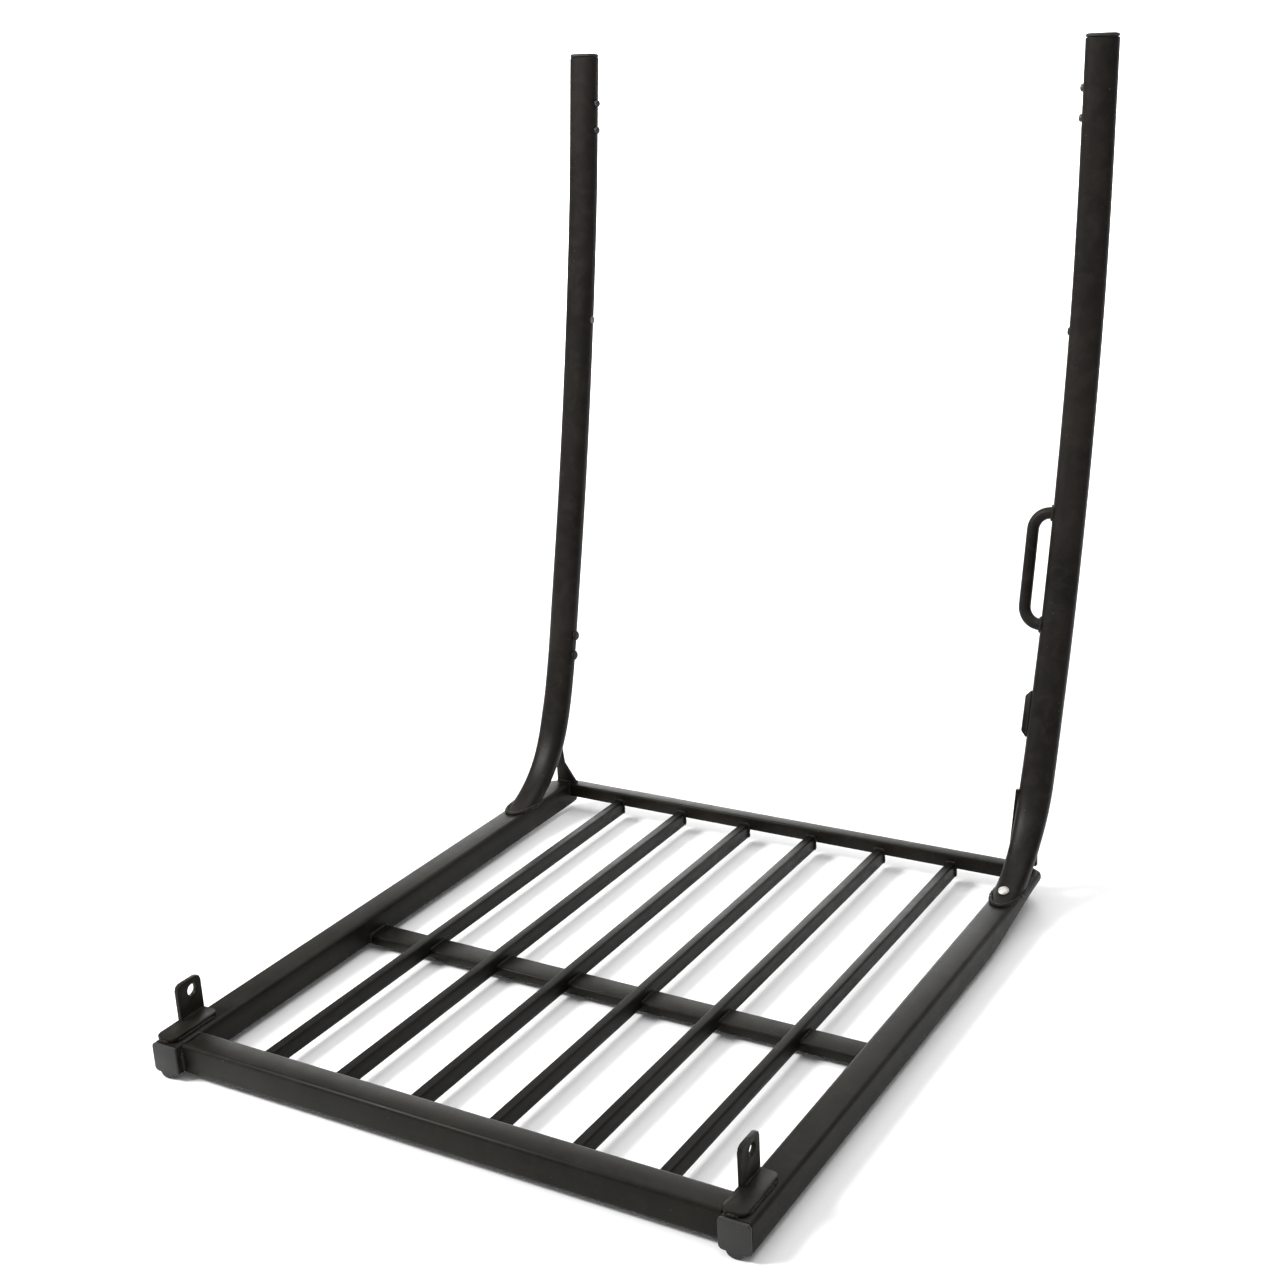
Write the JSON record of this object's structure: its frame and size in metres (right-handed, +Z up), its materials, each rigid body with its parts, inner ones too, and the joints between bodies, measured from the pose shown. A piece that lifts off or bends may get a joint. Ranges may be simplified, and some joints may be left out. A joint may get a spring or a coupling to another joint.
{
  "type": "climbing tree stand",
  "caption": "Welded steel foot platform with slats between square side rails and two tall oval uprights that curve up from its back; spring buttons near their tops.",
  "frame": {"origin": "centre of the bounding box at its lowest point, under the front caps' tongues", "axes": "+Z up, +Y from the open front of the platform towards the uprights, +X across the platform, to the right when the uprights are faced from the front"},
  "size_m": [0.5456, 0.7566, 0.7621],
  "materials": {
    "powder_coat": "dark olive-brown powder coat, semi-matte, worn at edges",
    "end_cap_plastic": "matte",
    "zinc_steel": "zinc plated, dulled",
    "spring_steel": "blued spring steel"
  },
  "bodies": {
    "frame": {"side_rail_left": "powder_coat", "side_rail_right": "powder_coat", "front_bar": "powder_coat", "mid_crossbar": "powder_coat", "back_crossbar": "powder_coat", "slat_1": "powder_coat", "slat_2": "powder_coat", "slat_3": "powder_coat", "slat_4": "powder_coat", "slat_5": "powder_coat", "slat_6": "powder_coat", "upright_left": "powder_coat", "upright_right": "powder_coat", "front_ear_left": "powder_coat", "front_ear_right": "powder_coat", "corner_gusset_left": "powder_coat", "corner_gusset_right": "powder_coat", "strap_loop": "powder_coat", "stop_tab": "powder_coat", "front_cap_left": "end_cap_plastic", "front_cap_right": "end_cap_plastic", "rear_plug_left": "end_cap_plastic", "rear_plug_right": "end_cap_plastic", "upright_plug_left": "end_cap_plastic", "upright_plug_right": "end_cap_plastic", "bolt_left_1": "zinc_steel", "bolt_left_2": "zinc_steel", "foot_bolt_right": "zinc_steel", "rivet_left": "zinc_steel", "rivet_right": "zinc_steel", "leaf_spring_left": "spring_steel", "leaf_spring_right": "spring_steel"},
    "button_clip_left": {"snap_button_left_1": "zinc_steel", "snap_button_left_2": "zinc_steel", "button_carrier_left": "spring_steel"},
    "button_clip_right": {"snap_button_right_1": "zinc_steel", "snap_button_right_2": "zinc_steel", "button_carrier_right": "spring_steel"}
  },
  "joints": [
    {"name": "button_press_left", "type": "slide", "parent": "frame", "child": "button_clip_left", "axis": [-1, 0, 0], "range_m": [0, 0.0028], "stiffness_N_per_m": 2500, "springref_m": -0.0016},
    {"name": "button_press_right", "type": "slide", "parent": "frame", "child": "button_clip_right", "axis": [1, 0, 0], "range_m": [0, 0.0028], "stiffness_N_per_m": 2500, "springref_m": -0.0016}
  ]
}
